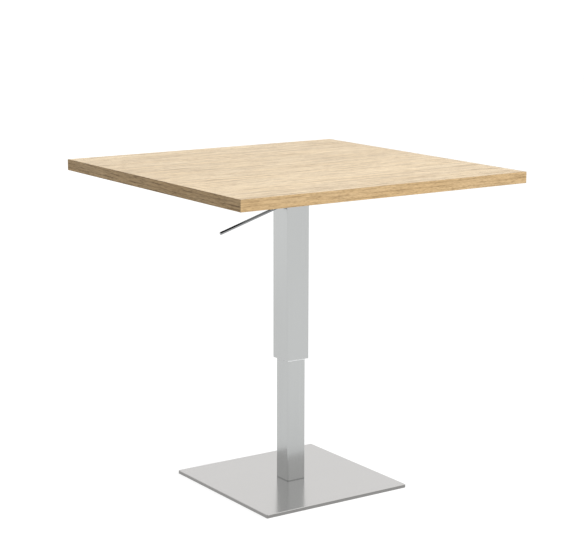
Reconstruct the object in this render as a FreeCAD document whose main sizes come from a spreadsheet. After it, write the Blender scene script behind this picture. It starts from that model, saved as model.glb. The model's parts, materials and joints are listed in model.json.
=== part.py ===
"""Square pedestal table on a telescoping square column that a lockable gas spring holds at height.

Millimetres. The floor is z = 0, +Z is up and the column stands on the Z axis. +X runs along the grain of
the top, the release lever points along -X. The table is drawn fully raised.
"""
import FreeCAD, Part
import math
import os

import Sketcher

V = FreeCAD.Vector

DIMENSIONS = {
    # Tabletop: a board with a veneer on both faces and an edge strip on each side.
    "top_side": 750,
    "core_thickness": 24,
    "veneer_thickness": 0.75,
    "edge_strip_thickness": 1,
    "edge_arris": 0.3,
    # Heights: lowest height of the table surface, lift above it, and the gap left under the upper tube.
    "lowest_height": 500,
    "travel": 250,
    "lowered_gap": 40,
    "stop_gap": 3,
    # Foot plate.
    "plate_side": 386,
    "plate_thickness": 8,
    "plate_corner_cut": 1.5,
    "plate_chamfer": 1,
    "nut_access_diameter": 22,
    # Levelling glides under the foot plate: a hexagon foot on a threaded stud.
    "glide_inset": 28,
    "glide_flats": 22,
    "glide_height": 2,
    "glide_thread_diameter": 8,
    "glide_thread_length": 5.5,
    "glide_hole_spare": 0.8,
    # Column tubes and the guides between them.
    "inner_side": 48,
    "inner_wall": 2,
    "outer_wall": 2,
    "tube_inside_radius": 0.6,
    "guide_wall": 3.6,
    "guide_clearance": 0.3,
    "guide_corner_cut": 1.5,
    "guide_spacing": 12,
    "guide_flange": 2,
    "guide_plug_depth": 14,
    "guide_tab_width": 12,
    "guide_tab_height": 5,
    "collar_lip": 1.2,
    "collar_setback": 0.2,
    "rib_width": 2,
    "rib_pitch": 16,
    "rib_height": 0.5,
    "rib_end_gap": 7,
    "fit_gap": 0.1,
    # Threaded plug welded in the foot of the inner tube, and its screws.
    "flange_thickness": 12,
    "flange_corner_cut": 1,
    "base_screw_diameter": 8,
    "base_screw_length": 16,
    "base_screw_head": 16,
    "base_screw_sink": 0.3,
    "base_screw_edge": 6.5,
    "base_screw_socket": 5,
    "base_screw_socket_depth": 3,
    "screw_play": 0.6,
    # Lockable gas spring.
    "cylinder_diameter": 28,
    "cylinder_wall": 1.5,
    "cylinder_lip": 1.2,
    "cylinder_play": 0.4,
    "end_plug_length": 12,
    "rod_guide_length": 18,
    "rod_diameter": 10,
    "rod_chamfer": 0.6,
    "rod_spare": 5,
    "running_gap": 0.05,
    "piston_length": 14,
    "piston_gap": 2,
    "pin_diameter": 4,
    "pin_stickout": 6.5,
    "pin_recess": 3,
    "stud_spare": 1.5,
    "nut_flats": 16,
    "nut_height": 5,
    # Yoke that hangs the upper half of the table from the gas spring's rod.
    "yoke_depth": 75.5,
    "yoke_sheet": 4,
    "yoke_width": 22,
    "yoke_length": 36,
    "yoke_shift": 3,
    "yoke_wall_gap": 2,
    "bend_radius": 2,
    # Release lever and its pivot.
    "lever_slope": 16.9,
    "lever_swing": 9,
    "lever_reach": 190.6,
    "lever_diameter": 7,
    "lever_tip_chamfer": 0.8,
    "lever_spigot_diameter": 6,
    "lever_slot_gap": 1,
    "pivot_offset": 13,
    "pivot_diameter": 6,
    "pivot_flats": 10,
    "pivot_head_height": 4,
    "pivot_nut_height": 5,
    "pivot_spare": 1.5,
    "hub_radius": 7,
    "hub_side_gap": 0.5,
    "hub_tail_side": 11,
    "hub_tail_cut": 1.5,
    "hub_tail_length": 12.5,
    "hub_socket_depth": 7.5,
    "hub_web_drop": 3.6,
    "nose_radius": 4.5,
    "nose_width": 12,
    "nose_play": 0.3,
    # Steel plate on the upper tube that carries the tabletop, and its hexagon-head wood screws.
    "top_plate_side": 220,
    "top_plate_thickness": 6,
    "top_plate_corner_cut": 15,
    "top_screw_inset": 22,
    "top_screw_diameter": 6,
    "top_screw_length": 24,
    "top_screw_flats": 10,
    "top_screw_head_height": 4,
    "top_screw_hole_spare": 1,
}

# Heights of the fully raised table.
PLATE_BOTTOM = "dims.glide_height"
PLATE_TOP = f"({PLATE_BOTTOM} + dims.plate_thickness)"
TABLE_HEIGHT = "(dims.lowest_height + dims.travel)"
CORE_TOP = f"({TABLE_HEIGHT} - dims.veneer_thickness)"
CORE_BOTTOM = f"({CORE_TOP} - dims.core_thickness)"
BOARD_BOTTOM = f"({CORE_BOTTOM} - dims.veneer_thickness)"
TOP_PLATE_BOTTOM = f"({BOARD_BOTTOM} - dims.top_plate_thickness)"
COLLAR_BOTTOM = f"({PLATE_TOP} + dims.lowered_gap + dims.travel)"
OUTER_TUBE_BOTTOM = f"({COLLAR_BOTTOM} + dims.collar_lip)"
YOKE_BOTTOM = f"({TOP_PLATE_BOTTOM} - dims.yoke_depth)"
YOKE_SEAT = f"({YOKE_BOTTOM} + dims.yoke_sheet)"
GUIDE_TOP = f"({YOKE_BOTTOM} - dims.travel - dims.stop_gap)"
INNER_TUBE_TOP = f"({GUIDE_TOP} - dims.guide_flange)"
FLANGE_TOP = f"({PLATE_TOP} + dims.flange_thickness)"
CYLINDER_TOP = f"({YOKE_BOTTOM} - dims.nut_height - dims.travel - dims.stop_gap)"
ROD_GUIDE_TOP = f"({CYLINDER_TOP} - dims.cylinder_lip)"
ROD_GUIDE_BOTTOM = f"({ROD_GUIDE_TOP} - dims.rod_guide_length)"
PISTON_TOP = f"({ROD_GUIDE_BOTTOM} - dims.piston_gap)"
PISTON_BOTTOM = f"({PISTON_TOP} - dims.piston_length)"
ROD_TOP = f"({YOKE_SEAT} + dims.nut_height + dims.rod_spare)"
PIN_TOP = f"({ROD_TOP} + dims.pin_stickout)"
NOSE_HEIGHT = f"({PIN_TOP} + dims.nose_play + dims.nose_radius)"
PIVOT_HEIGHT = f"({NOSE_HEIGHT} - dims.pivot_offset * tan(dims.lever_slope))"

# Lengths and widths that follow from the driving dimensions.
INNER_BORE = "(dims.inner_side - 2 * dims.inner_wall)"
OUTER_BORE = "(dims.inner_side + 2 * (dims.fit_gap + dims.guide_wall + dims.guide_clearance))"
OUTER_SIDE = f"({OUTER_BORE} + 2 * dims.outer_wall)"
INNER_RADIUS = "(dims.tube_inside_radius + dims.inner_wall)"
OUTER_RADIUS = "(dims.tube_inside_radius + dims.outer_wall)"
GUIDE_LENGTH = f"(({INNER_TUBE_TOP} - {OUTER_TUBE_BOTTOM} - dims.guide_spacing) / 2)"
CYLINDER_BORE = "(dims.cylinder_diameter - 2 * dims.cylinder_wall)"
CYLINDER_LENGTH = f"({CYLINDER_TOP} - {FLANGE_TOP})"
BOARD_SIDE = "(dims.top_side - 2 * dims.edge_strip_thickness)"
BOARD_THICKNESS = "(dims.core_thickness + 2 * dims.veneer_thickness)"
YOKE_HALF_WIDTH = "(dims.yoke_width / 2 + dims.yoke_sheet)"
BASE_SCREW_OFFSET = f"({INNER_BORE} / 2 - dims.base_screw_edge)"
TOP_SCREW_OFFSET = "(dims.top_plate_side / 2 - dims.top_screw_inset)"
GLIDE_OFFSET = "(dims.plate_side / 2 - dims.glide_inset)"
NOSE_DISTANCE = "(dims.pivot_offset / cos(dims.lever_slope))"

CORNERS = ((1, 1), (-1, 1), (-1, -1), (1, -1))
BASE_SCREW_CORNERS = ((1, 1), (-1, -1))

# How a sketch numbers its axes, and the points of a line or an arc.
HORIZONTAL_AXIS, VERTICAL_AXIS = -1, -2
START, END, CENTRE = 1, 2, 3

# Two edges closer than this count as being in the same place.
SAME_PLACE = 0.01

doc =FreeCAD.newDocument("pedestal_table")
dims = doc.addObject("Spreadsheet::Sheet", "dims")
parts = []


def fill_sheet():
    """Put each driving dimension in a cell of its own, under its name."""
    for row, (alias, value) in enumerate(DIMENSIONS.items(), 1):
        dims.set(f"A{row}", str(value))
        dims.setAlias(f"A{row}", alias)
    doc.recompute()


def number(expression):
    """Value of an expression on the sheet."""
    return float(dims.evalExpression(expression))


# Bodies and sketches.

def new_body(label, height="0"):
    """Body whose local origin lies on the column's axis at the given height."""
    body = doc.addObject("PartDesign::Body", label)
    body.Label = label
    body.setExpression("Placement.Base.z", height)
    parts.append(body)
    return body


def new_lever_body(label):
    """Body whose local origin is the lever's pivot, with local -X along the lever."""
    body = new_body(label, PIVOT_HEIGHT)
    body.Placement.Rotation = FreeCAD.Rotation(V(0, 1, 0), -number("dims.lever_slope"))
    body.setExpression("Placement.Rotation.Angle", "-dims.lever_slope")
    body.setExpression("Placement.Base.x", "-dims.pivot_offset")
    return body


def origin_feature(body, role):
    """Origin plane or axis of a body, found by its role."""
    return next(item for item in body.Origin.OriginFeatures if item.Role == role)


def new_sketch(body, role="XY_Plane", shift=("0", "0", "0")):
    """Sketch on an origin plane of the body, shifted along the sketch's own axes."""
    sketch = body.newObject("Sketcher::SketchObject", f"{body.Label}_sketch")
    sketch.AttachmentSupport = (origin_feature(body, role), [""])
    sketch.MapMode = "FlatFace"
    for axis, expression in zip("xyz", shift):
        sketch.setExpression(f"AttachmentOffset.Base.{axis}", expression)
    return sketch


def drive(sketch, kind, where, expression):
    """Dimension in a sketch, bound to the sheet."""
    index = sketch.addConstraint(Sketcher.Constraint(kind, *where, number(expression)))
    sketch.setExpression(f"Constraints[{index}]", expression)


def fix_point(sketch, geometry, vertex, across, up):
    """Place a point of the sketch by its two coordinates."""
    for kind, axis, expression in (("DistanceX", VERTICAL_AXIS, across), ("DistanceY", HORIZONTAL_AXIS, up)):
        if expression == "0":
            sketch.addConstraint(Sketcher.Constraint("PointOnObject", geometry, vertex, axis))
        else:
            drive(sketch, kind, (HORIZONTAL_AXIS, START, geometry, vertex), expression)


def draw_outline(sketch, points):
    """Closed outline of straight lines through the points."""
    corners = [V(number(across), number(up), 0) for across, up in points]
    lines = []
    for corner, following in zip(corners, corners[1:] + corners[:1]):
        lines.append(sketch.addGeometry(Part.LineSegment(corner, following), False))
    for line, following, (across, up) in zip(lines, lines[1:] + lines[:1], points):
        sketch.addConstraint(Sketcher.Constraint("Coincident", line, END, following, START))
        fix_point(sketch, line, START, across, up)


def draw_circle(sketch, across, up, diameter):
    """Circle about the given point."""
    middle = V(number(across), number(up), 0)
    circle = sketch.addGeometry(Part.Circle(middle, V(0, 0, 1), number(diameter) / 2), False)
    drive(sketch, "Diameter", (circle,), diameter)
    fix_point(sketch, circle, CENTRE, across, up)


def draw_corner_circles(sketch, offset, diameter, corners=CORNERS):
    """Circles at corners of a square about the axis."""
    for side_x, side_y in corners:
        draw_circle(sketch, f"{side_x} * {offset}", f"{side_y} * {offset}", diameter)


def draw_cut_square(sketch, side, cut):
    """Square about the sketch's origin with its corners cut off."""
    half = f"{side} / 2"
    short = f"({half} - {cut})"
    draw_outline(sketch, [
        (half, short), (short, half), (f"-{short}", half), (f"-({half})", short),
        (f"-({half})", f"-{short}"), (f"-{short}", f"-({half})"), (short, f"-({half})"), (half, f"-{short}"),
    ])


def draw_slot(sketch, width, length):
    """Upright slot about the sketch's origin with half-round ends."""
    radius = number(width) / 2
    reach = number(length) / 2 - radius
    arcs = []
    for middle, start in ((reach, 0), (-reach, math.pi)):
        circle = Part.Circle(V(0, middle, 0), V(0, 0, 1), radius)
        arcs.append(sketch.addGeometry(Part.ArcOfCircle(circle, start, start + math.pi), False))
    for arc, following in (arcs, reversed(arcs)):
        line = Part.LineSegment(sketch.getPoint(arc, END), sketch.getPoint(following, START))
        side = sketch.addGeometry(line, False)
        sketch.addConstraint(Sketcher.Constraint("Tangent", arc, END, side, START))
        sketch.addConstraint(Sketcher.Constraint("Tangent", side, END, following, START))
    top, bottom = arcs
    middle = (top, CENTRE, bottom, CENTRE, HORIZONTAL_AXIS, START)
    sketch.addConstraint(Sketcher.Constraint("Equal", top, bottom))
    sketch.addConstraint(Sketcher.Constraint("PointOnObject", top, CENTRE, VERTICAL_AXIS))
    sketch.addConstraint(Sketcher.Constraint("Symmetric", *middle))
    drive(sketch, "Radius", (top,), f"{width} / 2")
    drive(sketch, "DistanceY", (bottom, CENTRE, top, CENTRE), f"{length} - {width}")


def draw_rounded_rectangle(sketch, width, height, radius):
    """Rectangle about the sketch's origin with rounded corners."""
    round_size = number(radius)
    reach_x = number(width) / 2 - round_size
    reach_y = number(height) / 2 - round_size
    arcs = []
    for quarter, (side_x, side_y) in enumerate(CORNERS):
        circle = Part.Circle(V(side_x * reach_x, side_y * reach_y, 0), V(0, 0, 1), round_size)
        start = quarter * math.pi / 2
        arcs.append(sketch.addGeometry(Part.ArcOfCircle(circle, start, start + math.pi / 2), False))
    sides = []
    for quarter, (arc, following) in enumerate(zip(arcs, arcs[1:] + arcs[:1])):
        line = Part.LineSegment(sketch.getPoint(arc, END), sketch.getPoint(following, START))
        side = sketch.addGeometry(line, False)
        direction = "Vertical" if quarter % 2 else "Horizontal"
        sketch.addConstraint(Sketcher.Constraint("Tangent", arc, END, side, START))
        sketch.addConstraint(Sketcher.Constraint("Tangent", side, END, following, START))
        sketch.addConstraint(Sketcher.Constraint(direction, side))
        sides.append(side)
    for arc in arcs[1:]:
        sketch.addConstraint(Sketcher.Constraint("Equal", arcs[0], arc))
    middle = (arcs[0], CENTRE, arcs[2], CENTRE, HORIZONTAL_AXIS, START)
    sketch.addConstraint(Sketcher.Constraint("Symmetric", *middle))
    top, left, bottom, right = sides
    drive(sketch, "Radius", (arcs[0],), radius)
    drive(sketch, "DistanceX", (left, START, right, START), width)
    drive(sketch, "DistanceY", (bottom, START, top, START), height)


def draw_hexagon(sketch, flats):
    """Hexagon about the sketch's origin with two corners across, given by its width across the flats."""
    flat = f"{flats} / 2"
    corner = f"{flats} / sqrt(3)"
    short = f"{flats} / sqrt(12)"
    draw_outline(sketch, [
        (corner, "0"), (short, flat), (f"-{short}", flat),
        (f"-{corner}", "0"), (f"-{short}", f"-{flat}"), (short, f"-{flat}"),
    ])


# Features.

def pad(body, sketch, length, midplane=False, backwards=False):
    """Extrude a sketch; backwards is against the sketch's normal."""
    feature = body.newObject("PartDesign::Pad", f"{body.Label}_pad")
    feature.Profile = sketch
    feature.setExpression("Length", length)
    feature.Midplane = midplane
    feature.Reversed = backwards
    return feature


def check_cut(body, volume_before):
    """A cut that points away from its solid would leave the volume as it was."""
    doc.recompute()
    if not body.Shape.Volume < volume_before:
        raise RuntimeError(f"{body.Label}: a cut removes nothing")


def pocket(body, sketch, depth=None, midplane=False, upwards=False):
    """Cut a sketch to a depth, or right through; upwards is along the sketch's normal."""
    doc.recompute()
    volume_before = body.Shape.Volume
    feature = body.newObject("PartDesign::Pocket", f"{body.Label}_pocket")
    feature.Profile = sketch
    feature.Midplane = midplane
    feature.Reversed = upwards
    if depth is None:
        feature.Type = "ThroughAll"
    else:
        feature.setExpression("Length", depth)
    check_cut(body, volume_before)
    return feature


def revolve(body, sketch, axis="V_Axis"):
    """Turn a sketch about one of its own axes."""
    feature = body.newObject("PartDesign::Revolution", f"{body.Label}_revolution")
    feature.Profile = sketch
    feature.ReferenceAxis = (sketch, [axis])
    feature.Angle = 360
    return feature


def turn(body, points, shift=("0", "0", "0"), axis="V_Axis"):
    """Turned solid from half its section."""
    sketch = new_sketch(body, "XZ_Plane", shift)
    draw_outline(sketch, points)
    return revolve(body, sketch, axis)


def polar_copies(body, originals, count):
    """Copies of the features, evenly spaced about the body's Z axis."""
    feature = body.newObject("PartDesign::PolarPattern", f"{body.Label}_copies")
    feature.Originals = originals
    feature.Axis = (origin_feature(body, "Z_Axis"), [""])
    feature.Angle = 360
    feature.Occurrences = count
    body.Tip = feature
    doc.recompute()
    return feature


def edge_names(feature, wanted):
    """Names of the feature's edges that pass a test."""
    doc.recompute()
    return [f"Edge{index}" for index, edge in enumerate(feature.Shape.Edges, 1) if wanted(edge)]


def chamfer(body, feature, wanted, size):
    """Chamfer the edges that pass a test."""
    names = edge_names(feature, wanted)
    cut = body.newObject("PartDesign::Chamfer", f"{body.Label}_chamfer")
    cut.Base = (feature, names)
    cut.setExpression("Size", size)
    return cut


def fillet(body, feature, wanted, radius):
    """Round the edges that pass a test."""
    names = edge_names(feature, wanted)
    rounding = body.newObject("PartDesign::Fillet", f"{body.Label}_fillet")
    rounding.Base = (feature, names)
    rounding.setExpression("Radius", radius)
    return rounding


def lies_at(edge, height):
    """Whether an edge lies flat at a local height."""
    box = edge.BoundBox
    return abs(box.ZMin - height) < SAME_PLACE and abs(box.ZMax - height) < SAME_PLACE


def plain_plate(label, height, side, thickness, corner_cut):
    """Square plate with its corners cut off."""
    body = new_body(label, height)
    outline = new_sketch(body)
    draw_cut_square(outline, side, corner_cut)
    pad(body, outline, thickness)
    return body


def add_nut(body, sketch, flats, diameter, height, backwards=False):
    """Hexagon nut on the sketch's plane."""
    draw_hexagon(sketch, flats)
    draw_circle(sketch, "0", "0", f"{diameter} + 2 * dims.fit_gap")
    return pad(body, sketch, height, backwards=backwards)


def add_hexagon_stud(body, across, along, flats, head_height, diameter, length):
    """Hexagon hanging from the body's origin plane, with a round shank standing on it."""
    hexagon = new_sketch(body, shift=(across, along, "0"))
    draw_hexagon(hexagon, flats)
    head = pad(body, hexagon, head_height, backwards=True)
    circle = new_sketch(body, shift=(across, along, "0"))
    draw_circle(circle, "0", "0", f"{diameter} - 2 * dims.fit_gap")
    shank = pad(body, circle, length)
    return [head, shank]


# Tabletop.

def make_board_layer(label, height, thickness, hole_depth=None):
    """Square layer of the tabletop, with screw holes from below where it has any."""
    body = new_body(label, height)
    outline = new_sketch(body)
    half = f"{BOARD_SIDE} / 2"
    draw_outline(outline, [(f"{side_x} * {half}", f"{side_y} * {half}") for side_x, side_y in CORNERS])
    pad(body, outline, thickness)
    if hole_depth is not None:
        holes = new_sketch(body)
        draw_corner_circles(holes, TOP_SCREW_OFFSET, "dims.top_screw_diameter")
        pocket(body, holes, hole_depth, upwards=True)


def make_edge_strip(label, role, direction, length):
    """Edge strip whose section is drawn on an origin plane and padded along the side it covers."""
    body = new_body(label, BOARD_BOTTOM)
    section = new_sketch(body, role)
    outside = f"{direction} * dims.top_side / 2"
    shoulder = f"{direction} * (dims.top_side / 2 - dims.edge_arris)"
    inside = f"{direction} * {BOARD_SIDE} / 2"
    top = BOARD_THICKNESS
    draw_outline(section, [
        (inside, "0"), (shoulder, "0"), (outside, "dims.edge_arris"),
        (outside, f"{top} - dims.edge_arris"), (shoulder, top), (inside, top),
    ])
    pad(body, section, length, midplane=True)


def make_tabletop():
    """Core, two veneers and four edge strips; the front and back strips cover the ends of the side strips."""
    screw_reach = "(dims.top_screw_length - dims.top_plate_thickness - dims.veneer_thickness)"
    core_hole = f"{screw_reach} + dims.top_screw_hole_spare"
    make_board_layer("tabletop_core", CORE_BOTTOM, "dims.core_thickness", core_hole)
    make_board_layer("under_veneer", BOARD_BOTTOM, "dims.veneer_thickness", "dims.veneer_thickness")
    make_board_layer("top_veneer", CORE_TOP, "dims.veneer_thickness")
    make_edge_strip("edge_strip_front", "YZ_Plane", -1, "dims.top_side")
    make_edge_strip("edge_strip_back", "YZ_Plane", 1, "dims.top_side")
    make_edge_strip("edge_strip_left", "XZ_Plane", -1, BOARD_SIDE)
    make_edge_strip("edge_strip_right", "XZ_Plane", 1, BOARD_SIDE)


def make_top_plate():
    """Steel plate under the tabletop, with a screw hole near each corner."""
    size = ("dims.top_plate_side", "dims.top_plate_thickness", "dims.top_plate_corner_cut")
    body = plain_plate("top_plate", TOP_PLATE_BOTTOM, *size)
    holes = new_sketch(body)
    draw_corner_circles(holes, TOP_SCREW_OFFSET, "dims.top_screw_diameter + dims.screw_play")
    pocket(body, holes, upwards=True)


def make_tabletop_screws():
    """Four hexagon-head wood screws through the top plate into the core."""
    body = new_body("tabletop_screws", TOP_PLATE_BOTTOM)
    head = ("dims.top_screw_flats", "dims.top_screw_head_height")
    shank = ("dims.top_screw_diameter", "dims.top_screw_length")
    screw = add_hexagon_stud(body, TOP_SCREW_OFFSET, TOP_SCREW_OFFSET, *head, *shank)
    doc.recompute()
    polar_copies(body, screw, 4)


# Column.

def make_tube(label, bottom, top, bore, wall):
    """Square tube standing between two heights."""
    body = new_body(label, bottom)
    outline = new_sketch(body)
    side = f"({bore} + 2 * {wall})"
    draw_rounded_rectangle(outline, side, side, f"(dims.tube_inside_radius + {wall})")
    draw_rounded_rectangle(outline, bore, bore, "dims.tube_inside_radius")
    pad(body, outline, f"{top} - {bottom}")
    return body


def draw_guide_tab(sketch, height, play):
    """Outline of the upper guide's snap tab, or of its window, about the given height."""
    half = f"(dims.guide_tab_width / 2 + {play})"
    low = f"({height} - dims.guide_tab_height / 2 - {play})"
    high = f"({height} + dims.guide_tab_height / 2 + {play})"
    draw_outline(sketch, [(half, low), (half, high), (f"-{half}", high), (f"-{half}", low)])


def make_inner_tube():
    """Lower tube, with a window in each wall for the guide's snap tabs."""
    body = make_tube("inner_tube", PLATE_TOP, INNER_TUBE_TOP, INNER_BORE, "dims.inner_wall")
    for role in ("XZ_Plane", "YZ_Plane"):
        window = new_sketch(body, role)
        draw_guide_tab(window, f"({INNER_TUBE_TOP} - {PLATE_TOP} - {GUIDE_LENGTH} / 2)", "dims.fit_gap")
        pocket(body, window, midplane=True)


def make_outer_tube():
    """Upper tube, with the lever's slot in its -X wall."""
    body = make_tube("outer_tube", OUTER_TUBE_BOTTOM, TOP_PLATE_BOTTOM, OUTER_BORE, "dims.outer_wall")
    raised_slope = "(dims.lever_slope - dims.lever_swing)"
    fall = f"({OUTER_SIDE} / 2 - dims.pivot_offset) * tan(dims.lever_slope)"
    raised_fall = f"({OUTER_BORE} / 2 - dims.pivot_offset) * tan({raised_slope})"
    below = f"dims.lever_diameter / 2 / cos(dims.lever_slope) + dims.lever_slot_gap + {fall}"
    above = f"dims.lever_diameter / 2 / cos({raised_slope}) + dims.lever_slot_gap - {raised_fall}"
    middle = f"{PIVOT_HEIGHT} - {OUTER_TUBE_BOTTOM} + ({above} - ({below})) / 2"
    width = "(dims.lever_diameter + 2 * dims.lever_slot_gap)"
    slot = new_sketch(body, "YZ_Plane", ("0", middle, "0"))
    draw_slot(slot, width, f"({above} + {below})")
    pocket(body, slot)


def make_upper_guide():
    """Plastic cap on the inner tube's end: skirt outside, plug inside, snap tabs in the tube's windows."""
    body = new_body("upper_guide", INNER_TUBE_TOP)
    block = new_sketch(body, shift=("0", "0", f"-{GUIDE_LENGTH}"))
    draw_cut_square(block, f"({OUTER_BORE} - 2 * dims.guide_clearance)", "dims.guide_corner_cut")
    pad(body, block, f"{GUIDE_LENGTH} + dims.guide_flange")
    room = new_sketch(body)
    draw_cut_square(room, "(dims.inner_side + 2 * dims.fit_gap)", "dims.tube_inside_radius")
    pocket(body, room)
    plug = new_sketch(body)
    draw_cut_square(plug, f"({INNER_BORE} - 2 * dims.fit_gap)", "dims.guide_corner_cut")
    pad(body, plug, "dims.guide_plug_depth", backwards=True)
    bore = new_sketch(body, shift=("0", "0", "dims.guide_flange"))
    draw_circle(bore, "0", "0", "dims.cylinder_diameter + 2 * dims.cylinder_play")
    pocket(body, bore)
    for role in ("XZ_Plane", "YZ_Plane"):
        for direction in (1, -1):
            add_guide_tab(body, role, direction)


def add_guide_tab(body, role, direction):
    """Snap tab on the inside of the skirt, reaching into the tube's wall."""
    start = f"{direction} * (dims.inner_side / 2 + dims.guide_wall / 2)"
    tab = new_sketch(body, role, ("0", "0", start))
    draw_guide_tab(tab, f"(-{GUIDE_LENGTH} / 2)", "0")
    pad(body, tab, "dims.guide_wall / 2 + dims.inner_wall - dims.fit_gap", backwards=direction > 0)


def make_lower_guide():
    """Plastic collar in the outer tube's end: a thin visible lip and a ribbed sleeve."""
    body = new_body("lower_guide", COLLAR_BOTTOM)
    lip_side = f"({OUTER_SIDE} - 2 * dims.collar_setback)"
    lip = new_sketch(body)
    draw_rounded_rectangle(lip, lip_side, lip_side, f"({OUTER_RADIUS} - dims.collar_setback)")
    pad(body, lip, "dims.collar_lip")
    sleeve = new_sketch(body)
    draw_cut_square(sleeve, f"({OUTER_BORE} - 2 * dims.rib_height)", "dims.guide_corner_cut")
    pad(body, sleeve, f"dims.collar_lip + {GUIDE_LENGTH}")
    add_crush_ribs(body)
    bore = new_sketch(body, shift=("0", "0", f"dims.collar_lip + {GUIDE_LENGTH}"))
    bore_side = "(dims.inner_side + 2 * dims.guide_clearance)"
    draw_rounded_rectangle(bore, bore_side, bore_side, INNER_RADIUS)
    pocket(body, bore)


def add_crush_ribs(body):
    """Three upright ribs on each side of the sleeve, which wedge it in the tube."""
    reach = f"({OUTER_BORE} / 2 - dims.fit_gap)"
    root = f"({OUTER_BORE} / 2 - 2 * dims.rib_height)"
    ribs = []
    for place in (-1, 0, 1):
        left = f"{place} * dims.rib_pitch - dims.rib_width / 2"
        right = f"{place} * dims.rib_pitch + dims.rib_width / 2"
        rib = new_sketch(body)
        draw_outline(rib, [(left, root), (right, root), (right, reach), (left, reach)])
        ribs.append(pad(body, rib, f"dims.collar_lip + {GUIDE_LENGTH} - dims.rib_end_gap"))
    doc.recompute()
    polar_copies(body, ribs, 4)


# Foot.

def make_base_plate():
    """Steel foot plate with a bevelled rim, countersunk screw holes and blind threads for the glides."""
    size = ("dims.plate_side", "dims.plate_thickness", "dims.plate_corner_cut")
    body = plain_plate("base_plate", PLATE_BOTTOM, *size)
    top = number("dims.plate_thickness")
    body.Tip = chamfer(body, body.Tip, lambda edge: lies_at(edge, top), "dims.plate_chamfer")
    access = new_sketch(body)
    draw_circle(access, "0", "0", "dims.nut_access_diameter")
    pocket(body, access, upwards=True)
    threads = new_sketch(body)
    draw_corner_circles(threads, GLIDE_OFFSET, "dims.glide_thread_diameter")
    pocket(body, threads, "dims.glide_thread_length + dims.glide_hole_spare", upwards=True)
    drill_base_screw_holes(body)


def drill_base_screw_holes(body):
    """Two holes countersunk from below, on a diagonal."""
    volume_before = body.Shape.Volume
    centres = new_sketch(body)
    draw_corner_circles(centres, BASE_SCREW_OFFSET, "dims.base_screw_diameter", BASE_SCREW_CORNERS)
    doc.recompute()
    hole = body.newObject("PartDesign::Hole", "base_plate_holes")
    hole.Profile = centres
    doc.recompute()
    hole.ThreadType = 0
    hole.DepthType = "ThroughAll"
    hole.HoleCutType = "Countersink"
    hole.HoleCutCustomValues = True
    hole.HoleCutCountersinkAngle = 90
    hole.Reversed = True
    hole.setExpression("Diameter", "dims.base_screw_diameter + dims.screw_play")
    hole.setExpression("HoleCutDiameter", "dims.base_screw_head + dims.screw_play + 2 * dims.base_screw_sink")
    check_cut(body, volume_before)


def make_foot_flange():
    """Plug welded in the foot of the inner tube, tapped for the screws and bored for the spring's stud."""
    side = f"({INNER_BORE} - 2 * dims.fit_gap)"
    body = plain_plate("foot_flange", PLATE_TOP, side, "dims.flange_thickness", "dims.flange_corner_cut")
    holes = new_sketch(body)
    draw_corner_circles(holes, BASE_SCREW_OFFSET, "dims.base_screw_diameter", BASE_SCREW_CORNERS)
    draw_circle(holes, "0", "0", "dims.rod_diameter + 2 * dims.fit_gap")
    pocket(body, holes, upwards=True)


def make_base_screws():
    """Two countersunk screws with hexagon sockets, heads just inside the plate's underside."""
    body = new_body("base_screws", f"{PLATE_BOTTOM} + dims.base_screw_sink")
    head = "dims.base_screw_head / 2"
    shank = "(dims.base_screw_diameter / 2 - dims.fit_gap)"
    tip = "dims.base_screw_length"
    points = [("0", "0"), (head, "0"), (shank, f"{head} - {shank}"), (shank, tip), ("0", tip)]
    screw = turn(body, points, shift=(BASE_SCREW_OFFSET, "0", f"-{BASE_SCREW_OFFSET}"))
    socket_sketch = new_sketch(body, shift=(BASE_SCREW_OFFSET, BASE_SCREW_OFFSET, "0"))
    draw_hexagon(socket_sketch, "dims.base_screw_socket")
    socket = pocket(body, socket_sketch, "dims.base_screw_socket_depth", upwards=True)
    polar_copies(body, [screw, socket], len(BASE_SCREW_CORNERS))


def make_glides():
    """One levelling glide near each corner of the foot plate."""
    foot = ("dims.glide_flats", "dims.glide_height")
    stud = ("dims.glide_thread_diameter", "dims.glide_thread_length")
    for name, side_x, side_y in (
        ("front_left", -1, -1), ("front_right", 1, -1), ("back_left", -1, 1), ("back_right", 1, 1),
    ):
        body = new_body(f"glide_foot_{name}", "dims.glide_height")
        place = (f"{side_x} * {GLIDE_OFFSET}", f"{side_y} * {GLIDE_OFFSET}")
        add_hexagon_stud(body, *place, *foot, *stud)


# Gas spring.

def make_spring_nut(label, height):
    """Thin hexagon nut for the gas spring's rod or stud."""
    body = new_body(label, height)
    add_nut(body, new_sketch(body), "dims.nut_flats", "dims.rod_diameter", "dims.nut_height")


def make_gas_cylinder():
    """Pressure tube with its upper lip rolled over the rod guide."""
    body = new_body("gas_cylinder", FLANGE_TOP)
    outside = "dims.cylinder_diameter / 2"
    bore = f"{CYLINDER_BORE} / 2"
    lip = f"{CYLINDER_BORE} / 2 - dims.cylinder_wall"
    turn(body, [
        (bore, "0"), (outside, "0"), (outside, f"{CYLINDER_LENGTH} - dims.cylinder_lip"),
        (bore, CYLINDER_LENGTH), (lip, CYLINDER_LENGTH), (lip, f"{CYLINDER_LENGTH} - dims.cylinder_lip"),
        (bore, f"{CYLINDER_LENGTH} - dims.cylinder_lip"),
    ])


def make_cylinder_end_plug():
    """Plug in the cylinder's foot with the threaded stud that goes through the foot flange."""
    body = new_body("cylinder_end_plug", FLANGE_TOP)
    rim = f"({CYLINDER_BORE} / 2 - dims.fit_gap)"
    stud = "dims.rod_diameter / 2"
    drop = "(dims.flange_thickness + dims.nut_height + dims.stud_spare)"
    length = "dims.end_plug_length"
    turn(body, [("0", f"-{drop}"), (stud, f"-{drop}"), (stud, "0"), (rim, "0"), (rim, length), ("0", length)])


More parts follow.
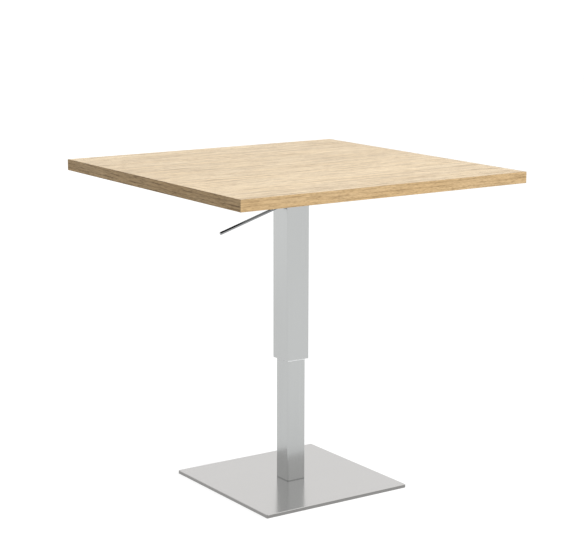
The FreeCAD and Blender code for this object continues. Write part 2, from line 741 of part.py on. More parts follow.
def make_spring_ring(label, bottom, length):
    """Ring between the cylinder's bore and the rod."""
    body = new_body(label, bottom)
    rim = f"({CYLINDER_BORE} / 2 - dims.fit_gap)"
    bore = "(dims.rod_diameter / 2 + dims.running_gap)"
    turn(body, [(bore, "0"), (rim, "0"), (rim, length), (bore, length)])


def make_piston_rod():
    """Hollow rod with a chamfered end; the release pin runs in its bore."""
    body = new_body("piston_rod", PISTON_BOTTOM)
    outside = "dims.rod_diameter / 2"
    bore = "(dims.pin_diameter / 2 + dims.fit_gap)"
    tip = f"({ROD_TOP} - {PISTON_BOTTOM})"
    turn(body, [
        (bore, "0"), (outside, "0"), (outside, f"{tip} - dims.rod_chamfer"),
        (f"{outside} - dims.rod_chamfer", tip), (bore, tip),
    ])


def make_release_pin():
    """Pin that opens the valve in the piston when the lever's nose pushes it."""
    body = new_body("release_pin", f"{PISTON_BOTTOM} + dims.pin_recess")
    side = new_sketch(body)
    draw_circle(side, "0", "0", "dims.pin_diameter")
    pad(body, side, f"{PIN_TOP} - {PISTON_BOTTOM} - dims.pin_recess")


def make_gas_spring():
    """Cylinder, plugs, piston, rod and the three nuts that hold the spring."""
    make_gas_cylinder()
    make_cylinder_end_plug()
    make_spring_ring("rod_guide", ROD_GUIDE_BOTTOM, "dims.rod_guide_length")
    make_spring_ring("piston", PISTON_BOTTOM, "dims.piston_length")
    make_piston_rod()
    make_release_pin()
    make_spring_nut("cylinder_locknut", f"{PLATE_TOP} - dims.nut_height")
    make_spring_nut("rod_nut_lower", f"{YOKE_BOTTOM} - dims.nut_height")
    make_spring_nut("rod_nut_upper", YOKE_SEAT)


# Release mechanism.

def make_release_yoke():
    """Bent sheet yoke: two cheeks on flanges under the top plate, and a crosspiece clamped on the rod."""
    body = new_body("release_yoke", YOKE_BOTTOM)
    flange_reach = f"({OUTER_BORE} / 2 - dims.yoke_wall_gap)"
    flange_bottom = "(dims.yoke_depth - dims.yoke_sheet)"
    cheek = "dims.yoke_width / 2"
    right_side = [
        (YOKE_HALF_WIDTH, "0"), (YOKE_HALF_WIDTH, flange_bottom), (flange_reach, flange_bottom),
        (flange_reach, "dims.yoke_depth"), (cheek, "dims.yoke_depth"), (cheek, "dims.yoke_sheet"),
    ]
    left_side = [(f"-{across}", up) for across, up in reversed(right_side)]
    section = new_sketch(body, "YZ_Plane", ("0", "0", "-dims.yoke_shift"))
    draw_outline(section, right_side + left_side)
    sheet = pad(body, section, "dims.yoke_length", midplane=True)
    bends = fillet(body, sheet, is_inner_bend, "dims.bend_radius")
    rounded = fillet(body, bends, is_outer_bend, "dims.bend_radius + dims.yoke_sheet")
    body.Tip = rounded
    rod_hole = new_sketch(body)
    draw_circle(rod_hole, "0", "0", "dims.rod_diameter + 2 * dims.fit_gap")
    pocket(body, rod_hole, "2 * dims.yoke_sheet", midplane=True)
    pivot_hole = new_sketch(body, "XZ_Plane")
    pivot_height = f"{PIVOT_HEIGHT} - {YOKE_BOTTOM}"
    draw_circle(pivot_hole, "-dims.pivot_offset", pivot_height, "dims.pivot_diameter + 2 * dims.running_gap")
    pocket(body, pivot_hole, midplane=True)


def is_bend(edge, half_width, height):
    """Whether an edge runs along the yoke at the given distance from its middle and height."""
    box = edge.BoundBox
    along = box.XLength > number("dims.yoke_length") / 2
    beside = abs(abs(box.Center.y) - half_width) < SAME_PLACE
    return along and beside and abs(box.Center.z - height) < SAME_PLACE


def is_inner_bend(edge):
    """Hollow side of the four bends."""
    lower = is_bend(edge, number("dims.yoke_width / 2"), number("dims.yoke_sheet"))
    upper = is_bend(edge, number(YOKE_HALF_WIDTH), number("dims.yoke_depth - dims.yoke_sheet"))
    return lower or upper


def is_outer_bend(edge):
    """Round side of the four bends."""
    lower = is_bend(edge, number(YOKE_HALF_WIDTH), 0)
    upper = is_bend(edge, number("dims.yoke_width / 2"), number("dims.yoke_depth"))
    return lower or upper


def make_lever_hub():
    """Hub on the pivot bolt: a nose over the release pin and a socket for the lever rod."""
    body = new_lever_body("lever_hub")
    boss = new_sketch(body, "XZ_Plane")
    draw_circle(boss, "0", "0", "2 * dims.hub_radius")
    pad(body, boss, "dims.yoke_width - 2 * dims.hub_side_gap", midplane=True)
    web = new_sketch(body, "XZ_Plane")
    drop = "dims.hub_web_drop"
    draw_outline(web, [
        ("0", f"-{drop}"), (NOSE_DISTANCE, f"-{drop}"), (NOSE_DISTANCE, drop), ("0", "dims.hub_radius"),
    ])
    pad(body, web, "dims.nose_width", midplane=True)
    nose = new_sketch(body, "XZ_Plane")
    draw_circle(nose, NOSE_DISTANCE, "0", "2 * dims.nose_radius")
    pad(body, nose, "dims.nose_width", midplane=True)
    tail = new_sketch(body, "YZ_Plane")
    draw_cut_square(tail, "dims.hub_tail_side", "dims.hub_tail_cut")
    pad(body, tail, "dims.hub_tail_length", backwards=True)
    pivot_bore = new_sketch(body, "XZ_Plane")
    draw_circle(pivot_bore, "0", "0", "dims.pivot_diameter + 2 * dims.running_gap")
    pocket(body, pivot_bore, midplane=True)
    socket = new_sketch(body, "YZ_Plane", ("0", "0", "-dims.hub_tail_length"))
    draw_circle(socket, "0", "0", "dims.lever_spigot_diameter + 2 * dims.running_gap")
    pocket(body, socket, "dims.hub_socket_depth", upwards=True)


def make_lever_rod():
    """Plain round lever with a stepped end that screws into the hub."""
    body = new_lever_body("lever_rod")
    tip = "-(dims.lever_reach - dims.pivot_offset) / cos(dims.lever_slope)"
    shoulder = "-dims.hub_tail_length"
    spigot_end = "-(dims.hub_tail_length - dims.hub_socket_depth)"
    spigot = "dims.lever_spigot_diameter / 2"
    side = "dims.lever_diameter / 2"
    turn(body, [
        (spigot_end, "0"), (spigot_end, spigot), (shoulder, spigot), (shoulder, side),
        (f"{tip} + dims.lever_tip_chamfer", side), (tip, f"{side} - dims.lever_tip_chamfer"), (tip, "0"),
    ], axis="H_Axis")


def make_pivot():
    """Shoulder bolt through the yoke's cheeks and the hub, with a locknut on its +Y end."""
    cheek = f"({YOKE_HALF_WIDTH} + dims.running_gap)"
    bolt = new_lever_body("pivot_bolt")
    head = new_sketch(bolt, "XZ_Plane", ("0", "0", cheek))
    draw_hexagon(head, "dims.pivot_flats")
    pad(bolt, head, "dims.pivot_head_height")
    shank = new_sketch(bolt, "XZ_Plane", ("0", "0", cheek))
    draw_circle(shank, "0", "0", "dims.pivot_diameter")
    pad(bolt, shank, f"2 * {cheek} + dims.pivot_nut_height + dims.pivot_spare", backwards=True)
    nut = new_lever_body("pivot_nut")
    outline = new_sketch(nut, "XZ_Plane", ("0", "0", f"-{cheek}"))
    add_nut(nut, outline, "dims.pivot_flats", "dims.pivot_diameter", "dims.pivot_nut_height", backwards=True)


# Assembly.

def make_everything():
    """Build every piece of the table."""
    make_base_plate()
    make_foot_flange()
    make_base_screws()
    make_glides()
    make_inner_tube()
    make_upper_guide()
    make_gas_spring()
    make_outer_tube()
    make_lower_guide()
    make_release_yoke()
    make_pivot()
    make_lever_hub()
    make_lever_rod()
    make_top_plate()
    make_tabletop_screws()
    make_tabletop()


def export_parts():
    """Check every object, then write each part to its own file."""
    doc.recompute()
    for item in doc.Objects:
        if "Invalid" in item.State or "Error" in item.State:
            raise RuntimeError(f"{item.Label} did not recompute: {item.State}")
    for part in parts:
        if part.Shape.isNull() or not part.Shape.isValid():
            raise RuntimeError(f"{part.Label} has no valid shape")
    os.makedirs("parts", exist_ok=True)
    for part in parts:
        part.Shape.exportStep(f"parts/{part.Label}.step")
        print(f"{part.Label}: {len(part.Shape.Solids)} solid(s), {part.Shape.Volume / 1000:.2f} cm3")


fill_sheet()
make_everything()
export_parts()
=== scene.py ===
import json
import math

import bmesh
import bpy
from mathutils import Matrix, Vector


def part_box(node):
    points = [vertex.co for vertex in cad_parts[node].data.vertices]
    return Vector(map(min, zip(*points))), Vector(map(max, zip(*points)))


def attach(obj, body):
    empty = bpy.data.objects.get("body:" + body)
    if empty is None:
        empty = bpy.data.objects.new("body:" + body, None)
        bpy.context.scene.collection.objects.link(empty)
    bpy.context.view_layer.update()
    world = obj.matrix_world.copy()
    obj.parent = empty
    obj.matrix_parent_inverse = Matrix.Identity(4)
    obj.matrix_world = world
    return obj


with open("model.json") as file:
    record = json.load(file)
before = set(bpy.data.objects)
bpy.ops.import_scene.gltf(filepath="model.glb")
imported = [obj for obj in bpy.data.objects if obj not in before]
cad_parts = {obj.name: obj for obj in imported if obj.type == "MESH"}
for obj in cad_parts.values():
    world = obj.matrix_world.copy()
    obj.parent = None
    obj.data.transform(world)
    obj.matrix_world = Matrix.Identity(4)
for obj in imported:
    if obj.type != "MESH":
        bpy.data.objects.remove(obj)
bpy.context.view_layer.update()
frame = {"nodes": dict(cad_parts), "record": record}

NODES = frame["nodes"]

# Camera of the photograph's view, in metres, degrees and pixels.
PICTURE_WIDTH = 584
FOCAL_PIXELS = 1663.9
SENSOR_WIDTH = 36.0
CAMERA_PLACE = (-2.1115, -3.1058, 1.2452)
CAMERA_YAW = 34.245
CAMERA_PITCH = -11.286
CAMERA_ROLL = 0.126
CAMERA_SIGHT = 400

# Range that a noise texture's values mostly keep to.
NOISE_LOW = 0.3
NOISE_HIGH = 0.7

# Oak: how far each layer of its grain takes it from its light tone, at 0, towards its dark one, at 1.
LINES_DEPTH = 0.44
DASHES_DEPTH = 0.38
FINE_DEPTH = 0.52
BROAD_DEPTH = 0.12
LEAF_DEPTH = 0.10
STREAK_DEPTH = 0.30
GLUE_DEPTH = 0.45

# Oak: leaves of veneer, counted from this far out on the -Y side, and the grain's jumps from one to the next.
LEAF_START = 0.43
LEAF_JUMP_X = 3.7
LEAF_JUMP_Z = 5.3

# Oak: the face's streak, in metres, along the line Y = slope * X + offset. It fades out towards -X.
STREAK_SLOPE = 0.068
STREAK_OFFSET = -0.2443
STREAK_CORE = 0.0015
STREAK_RIM = 0.0065
STREAK_FADE = (-0.08, 0.04)

# Oak: upward slant of a strip's surface between which its glue line starts to show.
GLUE_SLANT = (0.5, 0.9)

# Oak: share of the light tone's red, green and blue in its warmer patches.
WARM_TINT = (1.0, 0.965, 0.90)

# Brushed steel: a tube's foot darkened as painted contact shade where it stands on the plate, and a plate's
# sides, coarser in finish and darker as painted shade.
FOOT_SHADE_FADE = 0.0022
FOOT_SHADE_TONE = 0.62
CUT_SLANT = (0.3, 0.5)
CUT_ROUGHER = 0.16

# Weld under the top plate, in metres. Its leg wavers by shares, each at its own pace per step.
TUBE_CORNER_RADIUS = 0.0026
WELD_LEG = 0.0032
WELD_RIPPLE = 0.00028
WELD_SIDE_STEPS = 75
WELD_CORNER_STEPS = 6
WELD_WAVES = ((0.05, 0.37), (0.04, 0.23))

# Swell of the weld's steps, three to a ripple, and its profile: out and up in legs, and share of the swell.
WELD_SWELLS = (0.0, 1.0, 0.7)
WELD_PROFILE = ((-0.1, 0.1, 0), (0.0, -1.0, 0), (0.30, -0.62, 1), (0.62, -0.30, 1), (1.0, 0.0, 0))

# Floor, in metres. Its glow gains between two distances towards the back left, or away from it.
FLOOR_REACH = 90.0
FLOOR_DEPTH = 0.0002
FLOOR_GREY = 0.18
FLOOR_GLOW = 0.89
BACK_LEFT = (-0.563, 0.826, 0.0)
GLOW_GAINS = ((1.4, 3.8, 0.10), (-0.25, -1.0, 0.045))

# Surroundings: heights above the horizon, as sines, and the brightness of the parts between them.
HORIZON_END = 0.19
LOW_PART_END = 0.36
HIGH_PART_START = 0.50
HORIZON_LEVEL = 1.0
LOW_PART_LEVELS = (0.665, 0.785)
HIGH_PART_LEVELS = (0.84, 0.045)
DARK_SIDE = (-0.90, -0.43, 0.0)
DARK_SIDE_SPAN = (-0.45, 0.90)

# Point that the lights face, in metres.
LIGHT_AIM = (0, 0, 0.6)


# Shader nodes.

class Wiring:
    """Makes and links the nodes of one node tree."""

    def __init__(self, tree):
        self.nodes, self.links = tree.nodes, tree.links

    def put(self, socket, value):
        """Link or set an input socket."""
        if isinstance(value, bpy.types.NodeSocket):
            self.links.new(value, socket)
        else:
            socket.default_value = value

    def math(self, operation, first, second=0.5, clamp=False):
        """Reckon with one or two values."""
        node = self.nodes.new("ShaderNodeMath")
        node.operation = operation
        node.use_clamp = clamp
        for socket, value in zip(node.inputs, (first, second)):
            self.put(socket, value)
        return node.outputs[0]

    def span(self, value, low, high, to_low=0.0, to_high=1.0, smooth=False):
        """Map a value's range to another, clamped."""
        node = self.nodes.new("ShaderNodeMapRange")
        node.interpolation_type = "SMOOTHSTEP" if smooth else "LINEAR"
        for socket, item in zip(node.inputs, (value, low, high, to_low, to_high)):
            self.put(socket, item)
        return node.outputs[0]

    def spread(self, noise, to_low=0.0, to_high=1.0):
        """Map a noise's usual range to another, clamped."""
        return self.span(noise, NOISE_LOW, NOISE_HIGH, to_low, to_high)

    def towards(self, place, direction):
        """How far a place lies in a direction."""
        node = self.nodes.new("ShaderNodeVectorMath")
        node.operation = "DOT_PRODUCT"
        self.put(node.inputs[0], place)
        self.put(node.inputs[1], direction)
        return node.outputs["Value"]

    def apart(self, vector):
        """The X, Y and Z outputs of a vector."""
        node = self.nodes.new("ShaderNodeSeparateXYZ")
        self.put(node.inputs[0], vector)
        return node.outputs


class Paint(Wiring):
    """One node material, built node by node round a Principled shader."""

    def __init__(self, name):
        self.material = bpy.data.materials.new(name)
        self.material.use_nodes = True
        super().__init__(self.material.node_tree)
        self.nodes.clear()
        self.shader = self.nodes.new("ShaderNodeBsdfPrincipled")
        output = self.nodes.new("ShaderNodeOutputMaterial")
        self.links.new(self.shader.outputs[0], output.inputs[0])
        where = self.nodes.new("ShaderNodeTexCoord")
        self.place, self.facing = where.outputs["Object"], where.outputs["Normal"]

    def shade(self, **values):
        """Set or link the Principled shader's inputs, with _ for the spaces of their names."""
        for name, value in values.items():
            self.put(self.shader.inputs[name.replace("_", " ")], value)

    def stretch(self, scale, shift=(0, 0, 0)):
        """The object's own coordinates times a scale, or one for each axis, plus a shift."""
        node = self.nodes.new("ShaderNodeVectorMath")
        node.operation = "MULTIPLY_ADD"
        self.put(node.inputs[0], self.place)
        self.put(node.inputs[1], scale if isinstance(scale, tuple) else (scale,) * 3)
        self.put(node.inputs[2], shift)
        return node.outputs[0]

    def noise(self, scale, detail=2.0, roughness=0.5, distortion=0.0, shift=(0, 0, 0)):
        """Noise in the object's own coordinates, at a scale per metre, or one for each axis."""
        node = self.nodes.new("ShaderNodeTexNoise")
        self.put(node.inputs["Vector"], self.stretch(scale, shift))
        node.inputs["Scale"].default_value = 1.0
        node.inputs["Detail"].default_value = detail
        node.inputs["Roughness"].default_value = roughness
        node.inputs["Distortion"].default_value = distortion
        return node.outputs["Fac"]

    def mix(self, share, first, second):
        """Blend two colours by the second one's share."""
        node = self.nodes.new("ShaderNodeMix")
        node.data_type = "RGBA"
        self.put(node.inputs[0], share)
        for socket, value in ((node.inputs[6], first), (node.inputs[7], second)):
            self.put(socket, (*value, 1) if isinstance(value, tuple) else value)
        return node.outputs[2]

    def bump(self, height, distance, under=None):
        """Relief of a depth in metres, on top of another relief where there is one."""
        node = self.nodes.new("ShaderNodeBump")
        node.inputs["Distance"].default_value = distance
        self.put(node.inputs["Height"], height)
        if under is not None:
            self.put(node.inputs["Normal"], under)
        return node.outputs[0]

    def tangent(self):
        """Direction round the Z axis, for the brush lines' highlights."""
        node = self.nodes.new("ShaderNodeTangent")
        node.direction_type = "RADIAL"
        node.axis = "Z"
        return node.outputs[0]


def along(axis, lengthwise, crosswise):
    """Scale of a grain that runs along an axis."""
    return tuple(lengthwise if name == axis else crosswise for name in "XYZ")


def times(factor, colour):
    """A colour made lighter or darker by a factor."""
    return tuple(factor * part for part in colour)


# Node materials.

def leaves(paint, across, width):
    """Shift of the grain in each leaf of veneer of a width, and the leaf's difference in tone."""
    count = paint.math("FLOOR", paint.math("DIVIDE", paint.math("ADD", across, LEAF_START), width))
    jump = paint.nodes.new("ShaderNodeCombineXYZ")
    paint.put(jump.inputs[0], paint.math("MULTIPLY", count, LEAF_JUMP_X))
    paint.put(jump.inputs[2], paint.math("MULTIPLY", count, LEAF_JUMP_Z))
    white = paint.nodes.new("ShaderNodeTexWhiteNoise")
    white.noise_dimensions = "1D"
    paint.put(white.inputs["W"], count)
    tone = paint.math("MULTIPLY", paint.math("SUBTRACT", white.outputs["Value"], 0.5), LEAF_DEPTH)
    return jump.outputs[0], tone


def streak(paint, place):
    """Where the face's one long brown streak lies, from 0 to 1."""
    line = paint.math("ADD", paint.math("MULTIPLY", place["X"], STREAK_SLOPE), STREAK_OFFSET)
    gap = paint.math("ABSOLUTE", paint.math("SUBTRACT", place["Y"], line))
    core = paint.span(gap, STREAK_CORE, STREAK_RIM, 1.0, 0.0, smooth=True)
    return paint.math("MULTIPLY", core, paint.span(place["X"], *STREAK_FADE))


def oak(name, axis, cross, light, dark, pore, gloss, index, fleck, rings, leaf=None):
    """Clear-lacquered oak with its grain along an axis.

    gloss is the roughness of its lacquer and index the lacquer's IOR. fleck is the length and width of its
    short dark dashes in metres, and rings the pitch and sway of its growth lines. A face has leaves of a
    width, which differ a little in tone, and one long brown streak. A strip, which has no leaves, is darker
    where its glue line shows on top.
    """
    paint = Paint(name)
    place = paint.apart(paint.place)
    shift, tone = leaves(paint, place[cross], leaf) if leaf else ((0, 0, 0), 0.0)
    long, wide = fleck
    pitch, sway = rings

    drift = paint.noise(along(axis, 3.0, 12.0), detail=3.0, shift=shift)
    field = paint.math("ADD", paint.math("DIVIDE", place[cross], pitch), paint.math("MULTIPLY", drift, sway))
    lines = paint.span(paint.math("PINGPONG", field, 1.0), 0.50, 1.0, smooth=True)
    fading = paint.noise(along(axis, 0.85 / long, 0.21 / wide), shift=shift)
    lines = paint.math("MULTIPLY", lines, paint.span(fading, 0.42, 0.60))
    dashes = paint.noise(along(axis, 1.0 / long, 1.0 / wide), detail=3.0, roughness=0.55, shift=shift)
    dashes = paint.span(dashes, 0.46, 0.64)
    fine = paint.noise(along(axis, 5.5 / long, 2.5 / wide), detail=3.0, roughness=0.6, shift=shift)
    fine = paint.span(fine, 0.48, 0.62)
    broad = paint.spread(paint.noise(along(axis, 1.3, 9.0), detail=3.0, roughness=0.55, shift=shift))

    grain = paint.math("MULTIPLY", lines, LINES_DEPTH)
    for layer, depth in ((dashes, DASHES_DEPTH), (fine, FINE_DEPTH), (broad, BROAD_DEPTH)):
        grain = paint.math("ADD", grain, paint.math("MULTIPLY", layer, depth))
    grain = paint.math("ADD", grain, tone, clamp=True)
    if leaf:
        mark = paint.math("MULTIPLY", streak(paint, place), STREAK_DEPTH)
    else:
        mark = paint.span(paint.apart(paint.facing)["Z"], *GLUE_SLANT, 0.0, GLUE_DEPTH)
    grain = paint.math("ADD", grain, mark, clamp=True)

    pores = paint.span(paint.noise(along(axis, 80.0, 1300.0), shift=shift), 0.58, 0.70)
    pores = paint.math("MULTIPLY", pores, paint.span(dashes, 0.0, 0.6, 0.35, 0.9))
    warm = paint.span(paint.noise(along(axis, 6.0, 45.0), shift=shift), 0.35, 0.65)
    warmer = tuple(tint * part for tint, part in zip(WARM_TINT, light))
    colour = paint.mix(grain, paint.mix(warm, light, warmer), dark)
    relief = paint.math("ADD", paint.math("MULTIPLY", pores, -1.0), paint.math("MULTIPLY", dashes, -0.25))
    paint.shade(
        Base_Color=paint.mix(paint.math("MULTIPLY", pores, 0.6), colour, pore),
        Roughness=paint.span(grain, 0.0, 1.0, gloss, gloss + 0.08),
        IOR=index,
        Normal=paint.bump(relief, 0.00008),
    )
    return paint.material


def brushed(name, axis, colour, rough, spread, anisotropy, shaded_cut_edge=None, foot_shade=None):
    """Brushed stainless steel with its brush lines along an axis.

    The roughness lies within a spread of rough. The cut edge colour, darker as painted shade, goes on a
    plate's sides, and the foot shade height is how far up a tube's foot is darkened, a painted contact shade
    where it stands on the plate.
    """
    paint = Paint(name)
    fine = paint.noise(along(axis, 6.0, 1800.0))
    coarse = paint.noise(along(axis, 1.5, 260.0), detail=3.0, roughness=0.6)
    cloud = paint.noise(5.0, detail=3.0)
    lines = paint.math("ADD", paint.math("MULTIPLY", fine, 0.75), paint.math("MULTIPLY", coarse, 0.25))
    finish = paint.mix(paint.spread(lines), times(0.955, colour), times(1.025, colour))
    gloss = paint.math("ADD", paint.spread(lines, rough - spread, rough + spread),
                       paint.spread(cloud, -0.015, 0.015))
    # Painted contact shade: a tube is darker at its foot, where it stands on the plate.
    if foot_shade:
        shaded_foot = paint.span(paint.apart(paint.place)["Z"], foot_shade, foot_shade + FOOT_SHADE_FADE, 1.0, 0.0)
        finish = paint.mix(shaded_foot, finish, times(FOOT_SHADE_TONE, colour))
    # A plate's sides get a darker colour, painted shade, and a rougher, marked cut finish.
    if shaded_cut_edge:
        slant = paint.math("ABSOLUTE", paint.apart(paint.facing)["Z"])
        shaded_side = paint.span(slant, *CUT_SLANT, 1.0, 0.0)
        marks = paint.noise((60.0, 60.0, 1800.0), detail=3.0, roughness=0.6)
        shaded_cut = paint.mix(paint.spread(marks), times(0.85, shaded_cut_edge), shaded_cut_edge)
        finish = paint.mix(shaded_side, finish, shaded_cut)
        gloss = paint.math("ADD", gloss, paint.math("MULTIPLY", shaded_side, CUT_ROUGHER))
    paint.shade(
        Base_Color=finish,
        Metallic=1.0,
        Roughness=gloss,
        Anisotropic=anisotropy,
        Tangent=paint.tangent(),
        Normal=paint.bump(lines, 0.000003),
    )
    return paint.material


def plated(name, colour, rough, tint, relief=0.00002):
    """Plated steel with soft cloudy patches of another tint, and fine scuffs."""
    paint = Paint(name)
    cloud = paint.noise(90.0, detail=4.0, roughness=0.55, distortion=0.6)
    scuffs = paint.noise((900.0, 900.0, 260.0), detail=3.0, roughness=0.6)
    paint.shade(
        Base_Color=paint.mix(paint.spread(cloud), colour, tint),
        Metallic=1.0,
        Roughness=paint.math("ADD", paint.spread(cloud, rough - 0.05, rough + 0.05),
                             paint.span(scuffs, 0.35, 0.65, -0.03, 0.03)),
        Normal=paint.bump(scuffs, relief),
    )
    return paint.material


def powder_coat(name, colour):
    """Fine-textured powder coat."""
    paint = Paint(name)
    grains = paint.noise(1400.0)
    waves = paint.noise(220.0)
    paint.shade(
        Base_Color=paint.mix(paint.span(grains, 0.4, 0.75), colour, times(1.5, colour)),
        Roughness=paint.spread(waves, 0.42, 0.52),
        Normal=paint.bump(grains, 0.00009, under=paint.bump(waves, 0.0001)),
    )
    return paint.material


def moulded(name, colour, rough):
    """Moulded plastic with a faint mottle and a fine spark-eroded grain."""
    paint = Paint(name)
    mottle = paint.noise(60.0, detail=3.0)
    grain = paint.noise(2600.0, detail=1.0)
    paint.shade(
        Base_Color=paint.mix(paint.spread(mottle), times(0.93, colour), colour),
        Roughness=paint.spread(grain, rough - 0.05, rough + 0.05),
        Normal=paint.bump(grain, 0.00003),
    )
    return paint.material


def laminate(name, colour):
    """Matt laminate with a fine pearled relief and faint handling marks."""
    paint = Paint(name)
    pearl = paint.noise(650.0)
    marks = paint.noise((9.0, 14.0, 9.0), detail=4.0, roughness=0.6, distortion=0.8)
    paint.shade(
        Base_Color=paint.mix(paint.spread(pearl), colour, times(1.35, colour)),
        Roughness=paint.math("ADD", paint.spread(pearl, 0.50, 0.58), paint.spread(marks, -0.05, 0.05)),
        IOR=1.3,
        Normal=paint.bump(pearl, 0.00006),
    )
    return paint.material


def particle_board(name):
    """Raw particle board: pale chips of mixed tones pressed flat."""
    paint = Paint(name)
    chips = paint.nodes.new("ShaderNodeTexVoronoi")
    chips.inputs["Scale"].default_value = 1.0
    paint.put(chips.inputs["Vector"], paint.stretch((260.0, 260.0, 700.0)))
    tone = paint.nodes.new("ShaderNodeSeparateColor")
    paint.put(tone.inputs[0], chips.outputs["Color"])
    dust = paint.noise(900.0, detail=3.0, roughness=0.6)
    colour = paint.mix(tone.outputs[0], (0.50, 0.34, 0.19), (0.70, 0.53, 0.34))
    paint.shade(
        Base_Color=paint.mix(paint.span(dust, 0.4, 0.7, 0.0, 0.4), colour, (0.34, 0.21, 0.11)),
        Roughness=paint.spread(dust, 0.75, 0.9),
        Normal=paint.bump(chips.outputs["Distance"], 0.0002),
    )
    return paint.material


def make_materials():
    """One finish for each material slot, one more for the oak strips along Y, darker as painted shade, and
    one for the weld.
    """
    stainless = (0.517, 0.527, 0.524)
    plate = (0.80, 0.786, 0.772)
    # The face's light tone is paler and lighter than the edges', partly the veneer's own tone and partly
    # painted light from above.
    face = dict(light=(0.734, 0.596, 0.404), dark=(0.27, 0.185, 0.105), pore=(0.17, 0.11, 0.06))
    edge = dict(light=(0.504, 0.362, 0.202), dark=(0.24, 0.157, 0.075), pore=(0.15, 0.094, 0.042))
    # The strips along Y take the edge oak darkened: painted shade of the table's -X side, which the key light
    # misses; the +X strip shares it.
    shaded_side = dict(light=(0.440, 0.313, 0.174), dark=(0.155, 0.101, 0.049), pore=(0.10, 0.063, 0.028))
    return {
        "oak_face": oak("oak_face_veneer", "X", "Y", **face, gloss=0.38, index=1.35,
                        fleck=(0.120, 0.0034), rings=(0.011, 7.0), leaf=0.1875),
        "oak_edge": oak("oak_edge_along_x", "X", "Z", **edge, gloss=0.46, index=1.2,
                        fleck=(0.055, 0.0025), rings=(0.0042, 3.0)),
        "oak_edge_y_painted_shade": oak("oak_edge_along_y_painted_shade", "Y", "Z", **shaded_side, gloss=0.46, index=1.2,
                          fleck=(0.080, 0.0023), rings=(0.0040, 3.0)),
        "board_core": particle_board("particle_board"),
        # The underside is black as painted shade: it stands in for the shade under the table, which the lever
        # mirrors.
        "under_face": laminate("black_underside_painted_shade", (0.012, 0.0115, 0.011)),
        # The tube's foot is darkened with painted contact shade.
        "stainless_tube": brushed("brushed_stainless_tube", "Z", stainless, rough=0.21, spread=0.045,
                                  anisotropy=0.5, foot_shade=0.0105),
        # The darker colour of the plate's sides is painted shade.
        "stainless_plate": brushed("brushed_stainless_plate", "X", plate, rough=0.17, spread=0.015,
                                   anisotropy=0.0, shaded_cut_edge=(0.32, 0.314, 0.308)),
        "black_steel": powder_coat("black_powder_coat", (0.018, 0.018, 0.019)),
        "zinc_steel": plated("bright_zinc", (0.58, 0.60, 0.63), 0.30, (0.66, 0.65, 0.60)),
        "satin_lever": plated("satin_chrome", (0.33, 0.335, 0.34), 0.09, (0.29, 0.295, 0.30),
                              relief=0.000003),
        "bright_rod": plated("hard_chrome", (0.72, 0.73, 0.74), 0.10, (0.68, 0.69, 0.70)),
        "guide_plastic": moulded("light_acetal", (0.66, 0.67, 0.67), 0.42),
        "glide_plastic": moulded("black_nylon", (0.02, 0.02, 0.021), 0.48),
        "weld": plated("weld_bead", (0.40, 0.40, 0.41), 0.36, (0.50, 0.46, 0.40)),
    }


def dress_nodes(materials):
    """Give every CAD node the finish of its slot, but the oak strips along Y the edge oak's darker copy, with
    painted shade.
    """
    for part in frame["record"]["subparts"]:
        finish = materials[part["material_slot"]]
        # The strips along Y get the darker copy of the edge oak, painted shade.
        if part["node"] in ("edge_strip_left", "edge_strip_right"):
            finish = materials["oak_edge_y_painted_shade"]
        for holder in NODES[part["node"]].material_slots:
            holder.material = finish


# Weld under the top plate.

def weld_path(half, radius):
    """Points round a rounded square, a third of a weld ripple apart, each with its outward direction."""
    steps = []
    straight = half - radius
    for quarter in range(4):
        turn = Matrix.Rotation(math.radians(90 * quarter), 3, "Z")
        for index in range(WELD_SIDE_STEPS):
            along_side = straight * (2 * index / WELD_SIDE_STEPS - 1)
            steps.append((turn @ Vector((half, along_side, 0)), turn @ Vector((1, 0, 0))))
        for index in range(WELD_CORNER_STEPS):
            angle = math.radians(90) * index / WELD_CORNER_STEPS
            out = Vector((math.cos(angle), math.sin(angle), 0))
            steps.append((turn @ (Vector((straight, straight, 0)) + radius * out), turn @ out))
    return steps


def weld_rows():
    """The weld's profile at each step of its way round the tube."""
    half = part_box("outer_tube")[1][0]
    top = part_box("top_plate")[0][2]
    rows = []
    for index, (place, out) in enumerate(weld_path(half, TUBE_CORNER_RADIUS)):
        waver = 1
        for share, pace in WELD_WAVES:
            waver += share * math.sin(pace * index)
        leg = WELD_LEG * waver
        swell = WELD_RIPPLE * WELD_SWELLS[index % len(WELD_SWELLS)]
        rows.append([])
        for across, rise, swollen in WELD_PROFILE:
            outwards = (across * leg + swollen * swell) * out
            upwards = Vector((0, 0, top + (rise * leg - swollen * swell)))
            rows[-1].append(place + outwards + upwards)
    return rows


def make_weld(finish):
    """Rippled fillet weld in the corner between the outer tube and the top plate."""
    rows = weld_rows()
    count, width = len(rows), len(rows[0])
    faces = []
    for row in range(count):
        here, after = row * width, (row + 1) % count * width
        for column in range(width):
            beside = (column + 1) % width
            faces.append((here + column, here + beside, after + beside, after + column))
    mesh = bpy.data.meshes.new("tube_weld")
    mesh.from_pydata([point for row in rows for point in row], [], faces)
    shape = bmesh.new()
    shape.from_mesh(mesh)
    bmesh.ops.recalc_face_normals(shape, faces=shape.faces)
    shape.to_mesh(mesh)
    shape.free()
    mesh.polygons.foreach_set("use_smooth", [True] * len(mesh.polygons))
    mesh.materials.append(finish)
    weld = bpy.data.objects.new("tube_weld", mesh)
    bpy.context.scene.collection.objects.link(weld)
    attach(weld, "upper")


# Stage.

